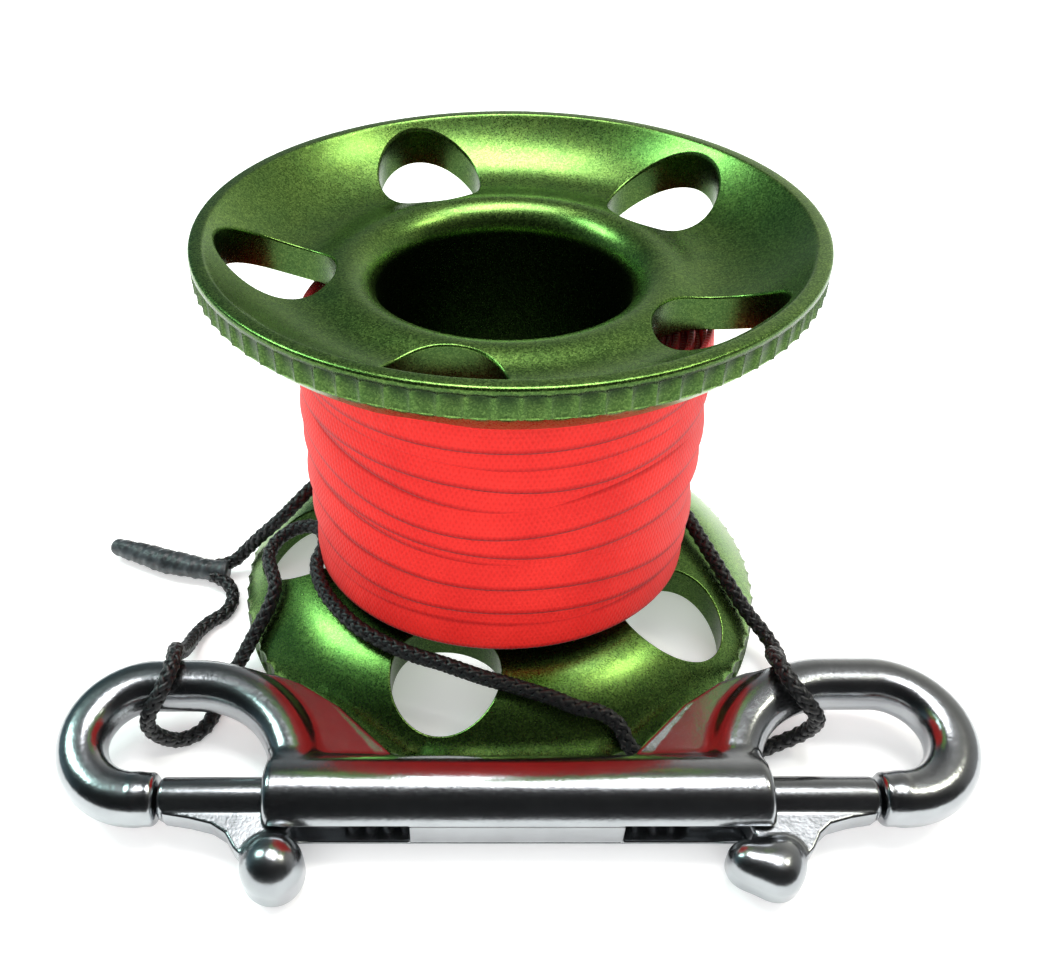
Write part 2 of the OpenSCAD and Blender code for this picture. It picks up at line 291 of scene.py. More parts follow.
class Net:
    """Adds and links nodes in a tree; constants go straight onto the sockets."""

    def __init__(self, group):
        self.tree = group

    def put(self, socket, value):
        if isinstance(value, bpy.types.NodeSocket):
            self.tree.links.new(value, socket)
        else:
            socket.default_value = value

    def add(self, kind, out=0, **given):
        """A new node: s_Name and iN are inputs, anything else is one of its properties.

        Returns the output called out, or the node itself if out is None.
        """
        node = self.tree.nodes.new(kind)
        sockets = {}
        for key, value in given.items():
            if key.startswith("s_"):
                sockets[key[2:].replace("_", " ")] = value
            elif key.startswith("i"):
                sockets[int(key[1:])] = value
            else:
                setattr(node, key, value)
        for key, value in sockets.items():
            self.put(node.inputs[key], value)
        return node.outputs[out] if out is not None else node

    def math(self, operation, a, b=0.0, c=0.0, clamp=False):
        return self.add("ShaderNodeMath", operation=operation, use_clamp=clamp, i0=a, i1=b, i2=c)

    def vector(self, operation, **given):
        return self.add("ShaderNodeVectorMath", operation=operation, **given)

    def ramp(self, factor, stops):
        """Colour ramp; each stop is a place and a grey level or a colour."""
        node = self.add("ShaderNodeValToRGB", out=None, i0=factor)
        marks = node.color_ramp.elements
        marks[0].position, marks[1].position = stops[0][0], stops[-1][0]
        for at, _ in stops[1:-1]:
            marks.new(at)
        for mark, (_, colour) in zip(marks, stops):
            mark.color = (*colour, 1.0) if isinstance(colour, tuple) else (colour, colour, colour, 1.0)
        return node.outputs[0]

    def mix(self, factor, a, b, blend="MIX"):
        return self.add("ShaderNodeMix", out=2, data_type="RGBA", blend_type=blend, i0=factor, i6=a, i7=b)

    def noise(self, scale, detail, **more):
        """Noise fixed to the object, scale in features per metre."""
        where = self.add("ShaderNodeTexCoord", out="Object")
        return self.add("ShaderNodeTexNoise", s_Vector=where, s_Scale=scale, s_Detail=detail, **more)

    def bump(self, height, strength, distance):
        return self.add("ShaderNodeBump", s_Strength=strength, s_Distance=distance, s_Height=height)


def node_group(name, kind, inputs, outputs):
    group = bpy.data.node_groups.new(name, kind)
    for label, socket, value in inputs:
        made = group.interface.new_socket(name=label, in_out="INPUT", socket_type="NodeSocket" + socket)
        if value is not None:
            made.default_value = value
    for label, socket in outputs:
        group.interface.new_socket(name=label, in_out="OUTPUT", socket_type="NodeSocket" + socket)
    net = Net(group)
    return group, net, net.add("NodeGroupInput", out=None).outputs


def new_material(name):
    material = bpy.data.materials.new(name)
    material.use_nodes = True
    material.node_tree.nodes.clear()
    return material, Net(material.node_tree)


def finish_material(net, **sockets):
    shader = net.add("ShaderNodeBsdfPrincipled", **{"s_" + key: value for key, value in sockets.items()})
    net.add("ShaderNodeOutputMaterial", out=None, i0=shader)


def grain_group():
    """Fine sparkle of blasted metal: colour factor, slow mottle and normal."""
    group, net, given = node_group(
        "Blasted Grain", "ShaderNodeTree", [("Grain Size", "Float", 0.00028), ("Depth", "Float", 0.25)],
        [("Speck", "Float"), ("Mottle", "Float"), ("Normal", "Vector")])
    scale = net.math("DIVIDE", 1.0, given["Grain Size"])
    speck = net.noise(scale, 1.0, s_Roughness=0.6)
    cell = net.add("ShaderNodeTexVoronoi", out="Color", feature="F1", s_Scale=scale,
                   s_Vector=net.add("ShaderNodeTexCoord", out="Object"))
    bright = net.add("ShaderNodeSeparateColor", i0=cell)
    mixed = net.math("MULTIPLY_ADD", bright, 0.6, net.math("MULTIPLY", speck, 0.4))
    net.add("NodeGroupOutput", out=None, i0=mixed, i1=net.noise(350.0, 4.0),
            i2=net.bump(mixed, given["Depth"], 0.00006))
    return group


def anodised_material():
    material, net = new_material("anodised_green")
    grain = net.add("ShaderNodeGroup", out=None, node_tree=grain_group(), s_Grain_Size=0.00016,
                    s_Depth=0.06).outputs
    base = net.ramp(grain["Speck"], [(0.25, (0.095, 0.19, 0.042)), (0.5, (0.12, 0.235, 0.052)),
                                     (0.8, (0.23, 0.4, 0.1))])
    tone = net.ramp(grain["Mottle"], [(0.35, (0.85, 0.9, 0.9)), (0.65, (1.05, 1.03, 0.98))])
    # Painted shade: a per-vertex attribute darkens the green towards near black in the flutes under the
    # bead, on the fluted band, on the hole walls and inside the bore.
    cavity = net.add("ShaderNodeAttribute", out="Fac", attribute_name="cavity")
    colour = net.mix(1.0, base, tone, "MULTIPLY")
    colour = net.mix(net.math("MULTIPLY", cavity, 0.93, clamp=True), colour, (0.004, 0.009, 0.005, 1.0))
    rough = net.math("MULTIPLY_ADD", grain["Speck"], 0.1, 0.24)
    finish_material(net, Base_Color=colour, Metallic=1.0, Roughness=rough, Normal=grain["Normal"],
                    Coat_Weight=0.04, Coat_Roughness=0.2)
    return material


def steel_material(name, base, rough, depth):
    material, net = new_material(name)
    ripple = net.noise(260.0, 3.0, s_Roughness=0.55)
    pits = net.noise(2600.0, 2.0)
    bump = net.bump(net.math("MULTIPLY_ADD", pits, 0.25, ripple), depth, 0.0004)
    shade = net.ramp(ripple, [(0.3, tuple(0.85 * c for c in base)), (0.7, base)])
    roughness = net.math("MULTIPLY_ADD", pits, 0.12, rough - 0.05)
    finish_material(net, Base_Color=shade, Metallic=1.0, Roughness=roughness, Normal=bump)
    return material


def line_material():
    """Flat woven line: fine diagonal weave along the tape, darker at its edges with painted shade for the
    creases between turns.
    """
    material, net = new_material("woven_red_line")
    along, across = (net.add("ShaderNodeAttribute", out="Fac", attribute_name=name)
                     for name in ("along", "across"))
    wave = []
    for slant in (5200.0, -5200.0):
        slope = net.math("MULTIPLY_ADD", across, slant, net.math("MULTIPLY", along, 9500.0))
        wave.append(net.math("SINE", slope))
    height = net.math("MULTIPLY_ADD", net.noise(2500.0, 3.0), 0.6, net.math("MAXIMUM", *wave))
    bump = net.bump(height, 0.35, 0.00012)
    base = net.ramp(net.noise(120.0, 2.0), [(0.3, (0.66, 0.0105, 0.008)), (0.7, (0.76, 0.017, 0.012))])
    thread = net.ramp(net.math("MULTIPLY_ADD", height, 0.35, 0.4),
                      [(0.0, (0.88, 0.8, 0.8)), (1.0, (1.08, 1.35, 1.35))])
    # Painted shade: the tape darkens towards its edges, standing in for the shadow in the creases where
    # turns overlap.
    edge = net.math("ABSOLUTE", net.math("DIVIDE", across, 0.00235))
    painted_crease_shade = net.ramp(edge, [(0.0, 1.0), (0.62, 1.0), (0.86, (0.62, 0.3, 0.4)), (1.0, (0.16, 0.01, 0.03))])
    colour = net.mix(1.0, net.mix(1.0, base, thread, "MULTIPLY"), painted_crease_shade, "MULTIPLY")
    finish_material(net, Base_Color=colour, Roughness=0.62, Normal=bump,
                    Sheen_Weight=0.08, Sheen_Roughness=0.4, Specular_IOR_Level=0.25)
    return material


def cord_material():
    material, net = new_material("black_braid")
    fibre = net.noise(6000.0, 3.0)
    colour = net.ramp(fibre, [(0.35, (0.002, 0.002, 0.0025)), (0.75, (0.014, 0.015, 0.016))])
    finish_material(net, Base_Color=colour, Roughness=0.4, Normal=net.bump(fibre, 0.4, 0.00008),
                    Specular_IOR_Level=0.5)
    return material


def sleeve_material():
    material, net = new_material("heat_shrink")
    fold = net.noise(700.0, 3.0, s_Distortion=0.6)
    colour = net.ramp(fold, [(0.35, (0.012, 0.015, 0.017)), (0.75, (0.05, 0.06, 0.066))])
    finish_material(net, Base_Color=colour, Roughness=0.42, Normal=net.bump(fold, 0.5, 0.0003),
                    Specular_IOR_Level=0.5)
    return material


def floor_material():
    material, net = new_material("pale_paper")
    colour = net.ramp(net.noise(40.0, 2.0), [(0.3, 0.93), (0.7, 0.95)])
    finish_material(net, Base_Color=colour, Roughness=0.9, Specular_IOR_Level=0.1,
                    Emission_Color=(1, 1, 1, 1), Emission_Strength=0.3)
    return material


# ---------------------------------------------------------------- geometry node groups

def geometry_group(name, inputs):
    """A Geometry Nodes group: geometry in and out, its named inputs and a material."""
    return node_group(name, "GeometryNodeTree",
                      [("Geometry", "Geometry", None), *inputs, ("Material", "Material", None)],
                      [("Geometry", "Geometry")])


def close_group(net, geometry, material):
    realized = net.add("GeometryNodeRealizeInstances", i0=geometry)
    painted = net.add("GeometryNodeSetMaterial", s_Geometry=realized, s_Material=material)
    net.add("NodeGroupOutput", out=None, i0=net.add("GeometryNodeSetShadeSmooth", i0=painted))


def ring_group():
    """Repeats one rim cell round the axis."""
    group, net, given = geometry_group("Ring Of Cells", [("Count", "Int", 90)])
    line = net.add("GeometryNodeMeshLine", mode="OFFSET", s_Count=given["Count"], s_Offset=(0.0, 0.0, 0.0))
    index = net.add("GeometryNodeInputIndex")
    turn = net.math("DIVIDE", net.math("MULTIPLY", index, 2 * math.pi), given["Count"])
    points = net.add("GeometryNodeInstanceOnPoints", s_Points=line, s_Instance=given["Geometry"],
                     s_Rotation=net.add("ShaderNodeCombineXYZ", i2=turn))
    realized = net.add("GeometryNodeRealizeInstances", i0=points)
    merged = net.add("GeometryNodeMergeByDistance", s_Geometry=realized, s_Distance=0.00001)
    close_group(net, merged, given["Material"])
    return group


def tape_group():
    """Sweeps a crowned flat profile along the line and keeps the weave's coordinates."""
    group, net, given = geometry_group("Line Turns", [
        ("Width", "Float", 0.0046), ("Thickness", "Float", 0.00085), ("Squareness", "Float", 0.6)])
    line = net.add("GeometryNodeStoreNamedAttribute", s_Geometry=given["Geometry"], s_Name="along",
                   s_Value=net.add("GeometryNodeSplineParameter", out="Length"))
    line = net.add("GeometryNodeSetCurveNormal", mode="Z_UP", s_Curve=line)
    circle = net.add("GeometryNodeCurvePrimitiveCircle", s_Resolution=14, s_Radius=1.0)
    axes = net.add("ShaderNodeSeparateXYZ", out=None, i0=net.add("GeometryNodeInputPosition")).outputs
    place = []
    for axis, size in zip(axes[:2], (given["Thickness"], given["Width"])):
        full = net.math("POWER", net.math("ABSOLUTE", axis), given["Squareness"])
        signed = net.math("MULTIPLY", full, net.math("SIGN", axis))
        place.append(net.math("MULTIPLY", signed, net.math("MULTIPLY", size, 0.5)))
    flat = net.add("GeometryNodeSetPosition", s_Geometry=circle,
                   s_Position=net.add("ShaderNodeCombineXYZ", i0=place[0], i1=place[1], i2=0.0))
    flat = net.add("GeometryNodeStoreNamedAttribute", s_Geometry=flat, s_Name="across", s_Value=axes[1])
    mesh = net.add("GeometryNodeCurveToMesh", s_Curve=line, s_Profile_Curve=flat, s_Fill_Caps=True)
    close_group(net, mesh, given["Material"])
    return group


def braid_group():
    """Strands plaited round a curve, half of them turning each way."""
    group, net, given = geometry_group("Round Braid", [
        ("Strands", "Int", 8), ("Pitch", "Float", 0.006), ("Radius", "Float", 0.00072),
        ("Weave", "Float", 0.00012), ("Strand Width", "Float", 0.00042),
        ("Strand Depth", "Float", 0.00026), ("Step", "Float", 0.0004)])
    even = net.add("GeometryNodeResampleCurve", mode="LENGTH", s_Curve=given["Geometry"],
                   s_Length=given["Step"])
    many = net.add("GeometryNodeDuplicateElements", out=None, domain="SPLINE", s_Geometry=even,
                   s_Amount=given["Strands"]).outputs
    index = many["Duplicate Index"]
    length = net.add("GeometryNodeSplineParameter", out="Length")
    way = net.math("MULTIPLY_ADD", net.math("MODULO", index, 2.0), 2.0, -1.0)
    lane = net.math("FLOOR", net.math("DIVIDE", index, 2.0))
    lanes = net.math("DIVIDE", given["Strands"], 2.0)
    turn = net.math("MULTIPLY", net.math("DIVIDE", length, given["Pitch"]), 2 * math.pi)
    start = net.math("MULTIPLY", net.math("DIVIDE", lane, lanes), 2 * math.pi)
    angle = net.math("MULTIPLY_ADD", turn, way, start)
    lift = net.math("MULTIPLY", net.math("COSINE", net.math("MULTIPLY", turn, lanes)),
                    net.math("MULTIPLY", way, given["Weave"]))
    radius = net.math("ADD", given["Radius"], lift)
    normal = net.add("GeometryNodeInputNormal")
    side = net.vector("CROSS_PRODUCT", i0=net.add("GeometryNodeInputTangent"), i1=normal)
    outward = net.vector("ADD", i0=net.vector("SCALE", i0=normal, s_Scale=net.math("COSINE", angle)),
                         i1=net.vector("SCALE", i0=side, s_Scale=net.math("SINE", angle)))
    keep = net.add("GeometryNodeCaptureAttribute", out=None)
    keep.capture_items.new("VECTOR", "Outward")
    net.put(keep.inputs[0], many[0])
    net.put(keep.inputs[1], outward)
    moved = net.add("GeometryNodeSetPosition", s_Geometry=keep.outputs[0],
                    s_Offset=net.vector("SCALE", i0=outward, s_Scale=radius))
    moved = net.add("GeometryNodeSetCurveNormal", mode="FREE", s_Curve=moved, s_Normal=keep.outputs[1])
    size = net.add("ShaderNodeCombineXYZ", i0=given["Strand Depth"], i1=given["Strand Width"], i2=1.0)
    flat = net.add("GeometryNodeTransform", s_Scale=size, s_Geometry=net.add(
        "GeometryNodeCurvePrimitiveCircle", s_Resolution=7, s_Radius=1.0))
    mesh = net.add("GeometryNodeCurveToMesh", s_Curve=moved, s_Profile_Curve=flat, s_Fill_Caps=True)
    close_group(net, mesh, given["Material"])
    return group


def coil_group():
    """Gate spring: a helix along X."""
    group, net, given = geometry_group("Coil Spring", [
        ("Turns", "Float", 8.0), ("Length", "Float", 0.018), ("Radius", "Float", 0.00215),
        ("Wire", "Float", 0.00025)])
    helix = net.add("GeometryNodeCurveSpiral", s_Resolution=24, s_Rotations=given["Turns"],
                    s_Height=given["Length"], s_Start_Radius=given["Radius"], s_End_Radius=given["Radius"])
    lying = net.add("GeometryNodeTransform", s_Geometry=helix, s_Rotation=(0.0, math.pi / 2, 0.0))
    wire = net.add("GeometryNodeCurvePrimitiveCircle", s_Resolution=8, s_Radius=given["Wire"])
    mesh = net.add("GeometryNodeCurveToMesh", s_Curve=lying, s_Profile_Curve=wire, s_Fill_Caps=True)
    close_group(net, mesh, given["Material"])
    return group


def add_nodes(obj, group, **values):
    modifier = obj.modifiers.new(group.name, "NODES")
    modifier.node_group = group
    for item in group.interface.items_tree:
        key = item.name.replace(" ", "_")
        if item.in_out == "INPUT" and key in values:
            modifier[item.identifier] = values[key]


# ---------------------------------------------------------------- spool

def dish(r):
    """Depth of the outer face below the rim: a bowl, then the rise to the lip of the bore."""
    lip = 1 - np.cos(np.pi * (r - LIP_RADIUS) / (SADDLE_RADIUS - LIP_RADIUS))
    return np.where(r >= SADDLE_RADIUS, DISH_DEPTH * (1 - ((r - SADDLE_RADIUS) / DISH_SPAN) ** 2),
                    DISH_DEPTH - LIP_RISE + LIP_RISE / 2 * lip)


def dish_slope(r):
    span = SADDLE_RADIUS - LIP_RADIUS
    return np.where(r >= SADDLE_RADIUS, -2 * DISH_DEPTH * (r - SADDLE_RADIUS) / DISH_SPAN ** 2,
                    LIP_RISE / 2 * np.pi / span * np.sin(np.pi * (r - LIP_RADIUS) / span))


def under(r):
    """Depth of the winding side."""
    return UNDER_EDGE + UNDER_FALL * (1 - (np.maximum(r - SADDLE_RADIUS, 0) / UNDER_SPAN) ** 2)


def under_slope(r):
    return -2 * UNDER_FALL * np.maximum(r - SADDLE_RADIUS, 0) / UNDER_SPAN ** 2


def flange_grid():
    """One flange without its rim, in local height h: 0 at the rim's face, growing into the spool.

    Returns vertices (x, y, h), faces, normals and how much painted shade each vertex gets.
    """
    r_in, r_out, arc, side, rings, fillet = WEB_RADIUS, RIM_INNER, 72, 20, 8, 0.3
    half = math.pi / HOLES
    t_side = np.linspace(0, 1, side, endpoint=False)
    t_arc = np.linspace(0, 1, arc, endpoint=False)
    rim = np.concatenate([
        np.stack([r_in + (r_out - r_in) * t_side, np.full(side, -half)], 1),
        np.stack([np.full(arc, r_out), -half + 2 * half * t_arc], 1),
        np.stack([r_out + (r_in - r_out) * t_side, np.full(side, half)], 1),
        np.stack([np.full(arc, r_in), half - 2 * half * t_arc], 1)])
    edge = np.stack([rim[:, 0] * np.cos(rim[:, 1]), rim[:, 0] * np.sin(rim[:, 1])], 1)
    centre = np.array([HOLE_CENTRE, 0.0])
    ray = edge - centre
    reach = np.linalg.norm(ray, axis=1) - HOLE_RADIUS
    out = ray / np.linalg.norm(ray, axis=1)[:, None]
    count = len(edge)
    verts, normals, faces = [], [], []

    def face_rows(height, slope, sign):
        """Rows from the hole wall outwards; sign -1 for the outer face, +1 for the winding side."""
        rows = []
        for a in (0.0, 30.0, 60.0, 90.0):  # round the hole's edge
            s = fillet * (1 - math.cos(math.radians(a)))
            drop = fillet * (1 - math.sin(math.radians(a)))
            rows.append((s * np.ones(count), drop, math.sin(math.radians(a))))
        for i in range(1, rings + 1):
            g = (i / rings) ** 1.25
            rows.append((fillet + (reach - fillet) * g, 0.0, 1.0))
        made = []
        for s, drop, share in rows:
            p = centre + out * (HOLE_RADIUS + s)[:, None]
            r = np.linalg.norm(p, axis=1)
            h = height(r) - sign * drop
            k = slope(r)
            n = np.stack([-k * p[:, 0] / r, -k * p[:, 1] / r, np.ones(count)], 1) * sign
            n /= np.linalg.norm(n, axis=1)[:, None]
            w = np.concatenate([-out, np.zeros((count, 1))], 1)
            mixed = share * n + math.sqrt(max(0.0, 1 - share * share)) * w
            mixed /= np.linalg.norm(mixed, axis=1)[:, None]
            made.append((np.concatenate([p, h[:, None]], 1), mixed))
        return made

    outer = face_rows(dish, dish_slope, -1.0)
    inner = face_rows(under, under_slope, 1.0)
    wall = [(outer[0][0] * (1 - t) + inner[0][0] * t, outer[0][1]) for t in (1 / 3, 2 / 3)]
    chain = outer[::-1] + wall + inner
    # Painted shade on the hole walls: the rows from one face's edge to the other's are darkened.
    shade = [0.75 if len(outer) - 1 <= i <= len(outer) + 2 else 0.0 for i in range(len(chain))]
    cavity = np.tile(np.repeat(shade, count), HOLES)
    for k in range(HOLES):
        angle = math.radians(HOLE_START + 360 / HOLES * k)
        c, s = math.cos(angle), math.sin(angle)
        turn = np.array([[c, s, 0], [-s, c, 0], [0, 0, 1]])
        base = len(verts)
        for p, n in chain:
            verts.extend(p @ turn)
            normals.extend(n @ turn)
        for row in range(len(chain) - 1):
            for i in range(count):
                j = (i + 1) % count
                a = base + row * count
                faces.append((a + i, a + count + i, a + count + j, a + j))
    return np.array(verts), faces, np.array(normals), cavity


def lathe(profile, normals):
    """Turn (r, h) points round the axis; normals are (nr, nh)."""
    columns = LATHE_COLUMNS
    angles = np.radians(HOLE_START) + 2 * np.pi * np.arange(columns) / columns
    verts, out, faces = [], [], []
    for (r, h), (nr, nh) in zip(profile, normals):
        length = math.hypot(nr, nh)
        nr, nh = nr / length, nh / length
        verts.extend(zip(r * np.cos(angles), r * np.sin(angles), np.full(columns, h)))
        out.extend(zip(nr * np.cos(angles), nr * np.sin(angles), np.full(columns, nh)))
    for row in range(len(profile) - 1):
        for i in range(columns):
            j = (i + 1) % columns
            a = row * columns
            faces.append((a + i, a + columns + i, a + columns + j, a + j))
    return verts, faces, out


def rim_cell(flute_depth):
    """One flute of the rim in local height h: 8 columns on the band, 4 where it joins the flange."""
    def face(r):
        return float(dish(np.array(r)))

    def side(r):
        return float(under(np.array(r)))

    radius = RIM_RADIUS
    # (r, h, share of the flute's depth)
    rows = [(35.55, face(35.55), 0), (35.72, 0.12, 0), (35.85, 0.02, 0), (36.0, 0.0, 0),
            (37.05, 0.0, 0), (37.3, 0.06, 0), (37.44, 0.2, 0), (radius, 0.42, 0), (radius, 0.86, 0),
            (radius, 0.94, 1.0), (radius, 1.3, 1.06), (radius, 2.2, 1.1), (radius, 3.1, 1.06),
            (radius, 3.5, 0.9), (37.42, 3.62, 0.6), (37.1, UNDER_EDGE, 0), (36.5, side(36.5), 0),
            (35.8, side(35.8), 0)]
    shape = [0.0, 0.6, 0.9, 0.98, 1.0, 0.98, 0.9, 0.6, 0.0]
    columns = len(shape) - 1
    angles = [math.radians(HOLE_START + FLUTE_ANGLE * i / columns) for i in range(columns + 1)]
    verts, faces, cavity = [], [], []
    coarse = angles[::2]
    # Painted shadow of the bead at the top of each flute, fading down the flute, keyed by row height.
    painted_shadow = {0.86: 0.5, 0.94: 1.0, 1.3: 1.0, 2.2: 0.55, 3.1: 0.2, 3.5: 0.3, 3.62: 0.4}
    verts += [(RIM_INNER * math.cos(a), RIM_INNER * math.sin(a), face(RIM_INNER)) for a in coarse]
    for r, h, share in rows:
        for a, s in zip(angles, shape):
            rr = r - flute_depth * share * s
            verts.append((rr * math.cos(a), rr * math.sin(a), h))
            # Painted shade: every band row is darkened to stand in for the dark surroundings the band
            # reflects, and the painted shadow is added where the flute is deepest.
            cavity.append((0.62 if 0.4 < h < 3.6 else 0.0) + 0.38 * painted_shadow.get(h, 0.0) * s)
    last = len(verts)
    verts += [(RIM_INNER * math.cos(a), RIM_INNER * math.sin(a), side(RIM_INNER)) for a in coarse]
    top, step = len(coarse), columns + 1
    for i in range(columns // 2):
        a, b, c = top + 2 * i, top + 2 * i + 1, top + 2 * i + 2
        faces += [(i, a, b), (i, b, i + 1), (i + 1, b, c)]
    for row in range(len(rows) - 1):
        for i in range(columns):
            a = top + row * step + i
            faces.append((a, a + step, a + step + 1, a + 1))
    end = top + (len(rows) - 1) * step
    for i in range(columns // 2):
        a, b, c = end + 2 * i, end + 2 * i + 1, end + 2 * i + 2
        faces += [(a, last + i, b), (b, last + i, last + i + 1), (b, last + i + 1, c)]
    return verts, faces, [0.0] * len(coarse) + cavity + [0.0] * len(coarse)


def build_spool(settings):
    material = anodised_material()
    verts, faces, normals, holes_shade = flange_grid()
    lip, lip_normals = [], []
    for a in range(0, 91, 9):
        c, s = math.cos(math.radians(a)), math.sin(math.radians(a))
        lip.append((LIP_RADIUS - LIP_ROUND * c, DISH_DEPTH - LIP_RISE + LIP_ROUND * (1 - s)))
        lip_normals.append((-c, -s))
    lip.append((WEB_RADIUS, float(dish(np.array(WEB_RADIUS)))))
    lip_normals.append((0.0, -1.0))
    middle = HEIGHT / 2
    core = [(WEB_RADIUS, 10.9), (19.8, 10.94), (19.6, 11.1), (CORE_RADIUS, 11.4), (CORE_RADIUS, middle)]
    core_normals = [(0, 1), (0.4, 0.92), (0.8, 0.6), (1, 0), (1, 0)]
    bore = [(BORE_RADIUS, middle), (BORE_RADIUS, DISH_DEPTH - LIP_RISE + LIP_ROUND)]
    cell_verts, cell_faces, cavity = rim_cell(settings.flute_depth / MM)
    cell = new_object("rim_cell", new_mesh("rim_cell", cell_verts, cell_faces))
    # The rim's painted shade rides along on the cell and is repeated round the ring.
    cell.data.attributes.new("cavity", "FLOAT", "POINT").data.foreach_set("value", cavity)
    add_nodes(cell, ring_group(), Count=settings.flutes, Material=material)
    ring = bake(cell, "rim_ring")
    ring_v = np.array([v.co for v in ring.data.vertices]) / MM
    ring_f = [tuple(p.vertices) for p in ring.data.polygons]
    ring_n = np.array([v.normal for v in ring.data.vertices])
    ring_c = np.zeros(len(ring_v), np.float32)
    ring.data.attributes["cavity"].data.foreach_get("value", ring_c)
    edge = np.hypot(ring_v[:, 0], ring_v[:, 1]) > RIM_RADIUS - 0.05
    if (ring_n[edge, :2] * ring_v[edge, :2]).sum() < 0:
        ring_n, ring_f = -ring_n, [q[::-1] for q in ring_f]
    bpy.data.objects.remove(ring)

    all_v, all_f, all_n, all_c = [], [], [], []
    for top in (False, True):
        parts = [(verts, faces, normals), (ring_v, ring_f, ring_n)]
        for profile, given in ((bore, [(-1, 0), (-1, 0)]), (lip, lip_normals), (core, core_normals)):
            v, f, n = lathe(profile, given)
            parts.append((np.array(v), f, np.array(n)))
        for v, f, n in parts:
            base = sum(len(x) for x in all_v)
            v, n = np.array(v, float).copy(), np.array(n, float).copy()
            if top:
                v[:, 2] = HEIGHT - v[:, 2]
                n[:, 2] *= -1
                f = [tuple(reversed(q)) for q in f]
            all_v.append(v)
            all_n.append(n)
            # Painted shade inside the bore; the rim ring and the flange bring their own painted shade.
            in_bore = np.where(np.hypot(v[:, 0], v[:, 1]) < BORE_RADIUS + 0.1, 0.8, 0.0)
            all_c.append({len(ring_c): ring_c, len(holes_shade): holes_shade}.get(len(v), in_bore))
            all_f += [tuple(i + base for i in q) for q in f]
    v, n = np.concatenate(all_v), np.concatenate(all_n)
    key = np.round(v * 500).astype(int)  # welds what is nearer than about 0.002 mm
    _, keep, back = np.unique(key, axis=0, return_index=True, return_inverse=True)
    back = back.ravel()
    merged_n = np.zeros((len(keep), 3))
    np.add.at(merged_n, back, n)
    merged_n /= np.maximum(np.linalg.norm(merged_n, axis=1), 1e-9)[:, None]
    f = [tuple(dict.fromkeys(back[i] for i in q)) for q in all_f]
    f = [tuple(int(i) for i in q) for q in f if len(q) > 2]
    mesh = new_mesh("spool_aluminium", v[keep], f)
    outward_faces(mesh)
    mesh.polygons.foreach_set("use_smooth", [True] * len(mesh.polygons))
    # The painted shade goes onto the mesh for the green material to darken.
    shade = mesh.attributes.new("cavity", "FLOAT", "POINT")
    shade.data.foreach_set("value", np.concatenate(all_c)[keep].astype(np.float32))
    mesh.normals_split_custom_set_from_vertices([tuple(x) for x in merged_n])
    mesh.materials.append(material)
    settle(new_object("spool_aluminium", mesh), "spool_aluminium", "spool_body", "spool")


# ---------------------------------------------------------------- line

def line_path():
    """One line from the core outwards: even inner layers, then the outer turns one by one."""
    per, low, high, width, layer, pad = 64, 16.6, 46.3, 4.6, 0.87, 9
    points, tilts = [], []
    turns = (high - low) / width
    radius, up, step = 20.0, True, 0
    while radius < 24.9:
        n = int(turns * per)
        for i in range(n):
            a = 2 * math.pi * step / per
            h = low + (high - low) * i / n if up else high - (high - low) * i / n
            points.append((radius * math.cos(a), radius * math.sin(a), h))
            tilts.append(0.0)
            step += 1
        radius += layer
        up = not up
    order = OUTER_TURNS if up else OUTER_TURNS[::-1]
    last = math.degrees(math.atan2(points[-1][1], points[-1][0])) % 360
    seq = [(last - 360.0 * (last > TURN_ANGLES[0] - 20), points[-1][2], radius + 0.03, 0.0)]
    for t, (heights, r, tilt) in enumerate(order):
        for a, h in zip(TURN_ANGLES, heights):
            seq.append((a + 360.0 * t, h, r, math.radians(tilt)))
    seq = np.array(seq)
    fine = np.arange(seq[0, 0], seq[-1, 0], 360.0 / 96)
    h, r, lean = (np.interp(fine, seq[:, 0], seq[:, k]) for k in (1, 2, 3))
    kernel = np.exp(-0.5 * (np.arange(-pad, pad + 1) / 3.6) ** 2)
    kernel /= kernel.sum()
    h, r = (np.convolve(np.pad(x, pad, mode="edge"), kernel, "valid") for x in (h, r - 0.45))
    points += zip(r * np.cos(np.radians(fine)), r * np.sin(np.radians(fine)), h)
    tilts += list(lean)
    return np.array(points), np.array(tilts)


def build_line(settings):
    """The whole line as one flat tape; returns its length in millimetres."""
    path, tilts = line_path()
    lead = curve_object("line_turns", path, tilts)
    add_nodes(lead, tape_group(), Width=settings.width, Thickness=settings.thickness,
              Material=line_material())
    settle(bake(lead, "line_turns"), "line_turns", "line_winding", "spool")
    return float(np.linalg.norm(np.diff(path, axis=0), axis=1).sum())


# ---------------------------------------------------------------- snap

def soft_min(a, b, k):
    h = np.clip(0.5 + 0.5 * (b - a) / k, 0, 1)
    return b * (1 - h) + a * h - k * h * (1 - h)


def soft_max(a, b, k):
    return -soft_min(-a, -b, k)


def polygon_distance(p, corners):
    """Signed distance to a closed polygon in the plane."""
    c = np.asarray(corners, float)
    best = np.full(len(p), 1e9)
    sign = np.ones(len(p))
    for i in range(len(c)):
        a, b = c[i], c[i - 1]
        e, w = b - a, p - a
        t = np.clip((w @ e) / (e @ e), 0, 1)
        best = np.minimum(best, ((w - t[:, None] * e) ** 2).sum(1))
        c1, c2 = p[:, 1] >= a[1], p[:, 1] < b[1]
        c3 = e[0] * w[:, 1] > e[1] * w[:, 0]
        flip = (c1 & c2 & c3) | (~c1 & ~c2 & ~c3)
        sign = np.where(flip, -sign, sign)
    return sign * np.sqrt(best)


def segment_distance(p, a, b):
    a, b = np.asarray(a, float), np.asarray(b, float)
    e = b - a
    t = np.clip(((p - a) @ e) / (e @ e), 0, 1)
    return np.linalg.norm(p - a - t[:, None] * e, axis=1)


